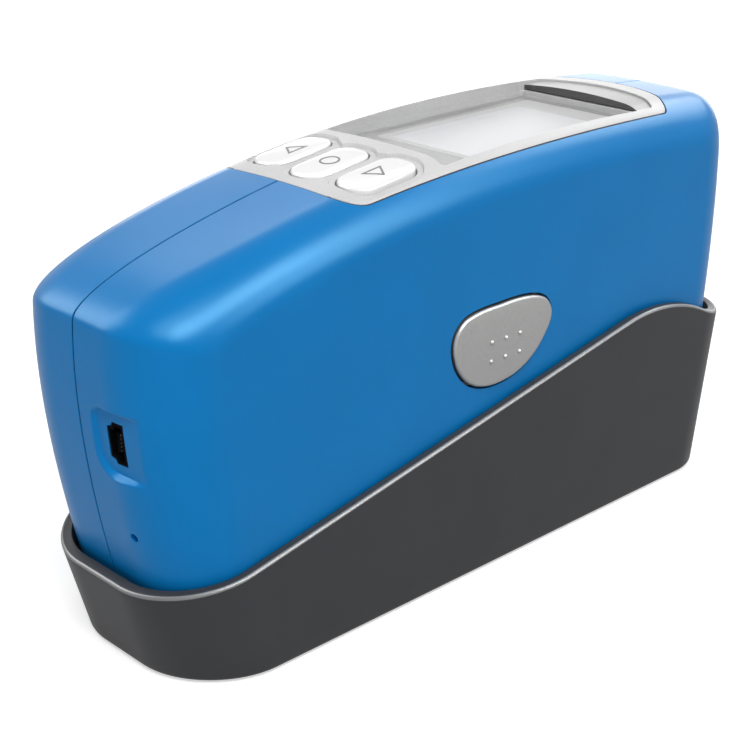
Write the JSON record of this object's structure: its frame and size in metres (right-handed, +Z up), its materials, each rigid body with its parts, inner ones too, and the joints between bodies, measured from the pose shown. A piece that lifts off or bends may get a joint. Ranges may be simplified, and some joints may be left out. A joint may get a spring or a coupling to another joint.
{
  "type": "gloss meter",
  "caption": "Hand-held gloss meter resting in its calibration holder, with a sloping blue casing, a display and keys on top, a wide side button and a socket at one end.",
  "frame": {"origin": "on the table, under the middle of the meter in its holder", "axes": "+X towards the display end, +Z up, the side button faces -Y"},
  "size_m": [0.1615, 0.0492, 0.087],
  "materials": {
    "casing_plastic": "satin, fine moulded grain",
    "holder_plastic": "satin charcoal",
    "frame_plastic": "moulded, plain",
    "silver_paint": "pale silver paint with fine grain",
    "button_silver": "satin silver paint",
    "trim_plastic": "white gloss",
    "key_plastic": "white gloss",
    "window": "clear, grey border behind it",
    "display_cell": "grey liquid crystal cell",
    "rubber": "moulded",
    "black_metal": "black anodised, matt",
    "black_plastic": "moulded",
    "black_glass": "polished",
    "lens_glass": "polished",
    "lamp_white": "diffusing white",
    "board": "solder mask",
    "cell_sleeve": "shrink sleeve",
    "plated_steel": "nickel plated"
  },
  "bodies": {
    "casing": {"base_plate": "black_metal", "base_screw_1": "plated_steel", "base_screw_2": "plated_steel", "base_screw_3": "plated_steel", "base_screw_4": "plated_steel", "battery_cell": "cell_sleeve", "calibration_tile": "black_glass", "detector_20": "black_plastic", "detector_60": "black_plastic", "detector_85": "black_plastic", "display_end_trim": "trim_plastic", "display_window": "window", "far_shell": "casing_plastic", "holder_pad_1": "rubber", "holder_pad_2": "rubber", "holder_pad_3": "rubber", "holder_pad_4": "rubber", "holder_shell": "holder_plastic", "inner_frame": "frame_plastic", "key_pad": "rubber", "lamp_20": "lamp_white", "lamp_60": "lamp_white", "lamp_85": "lamp_white", "lcd_glass": "display_cell", "lcd_module": "black_plastic", "main_board": "board", "near_shell": "casing_plastic", "optical_block": "black_metal", "receiver_lens_20": "lens_glass", "receiver_lens_60": "lens_glass", "receiver_lens_85": "lens_glass", "reset_switch": "black_plastic", "side_board": "board", "side_switch": "black_plastic", "source_lens_20": "lens_glass", "source_lens_60": "lens_glass", "source_lens_85": "lens_glass", "tile_tray": "frame_plastic", "top_panel": "silver_paint", "usb_board": "board", "usb_shell": "plated_steel", "usb_tongue": "black_plastic"},
    "down_key": {"key_down": "key_plastic"},
    "enter_key": {"key_enter": "key_plastic"},
    "up_key": {"key_up": "key_plastic"},
    "button": {"side_button": "button_silver"}
  },
  "joints": [
    {"name": "down_press", "type": "slide", "parent": "casing", "child": "down_key", "axis": [0, 0, -1], "range_m": [0, 0.0006], "stiffness_N_per_m": 1500},
    {"name": "enter_press", "type": "slide", "parent": "casing", "child": "enter_key", "axis": [0, 0, -1], "range_m": [0, 0.0006], "stiffness_N_per_m": 1500},
    {"name": "up_press", "type": "slide", "parent": "casing", "child": "up_key", "axis": [0, 0, -1], "range_m": [0, 0.0006], "stiffness_N_per_m": 1500},
    {"name": "button_press", "type": "slide", "parent": "casing", "child": "button", "axis": [0, 1, 0], "range_m": [0, 0.0008], "stiffness_N_per_m": 1500}
  ]
}
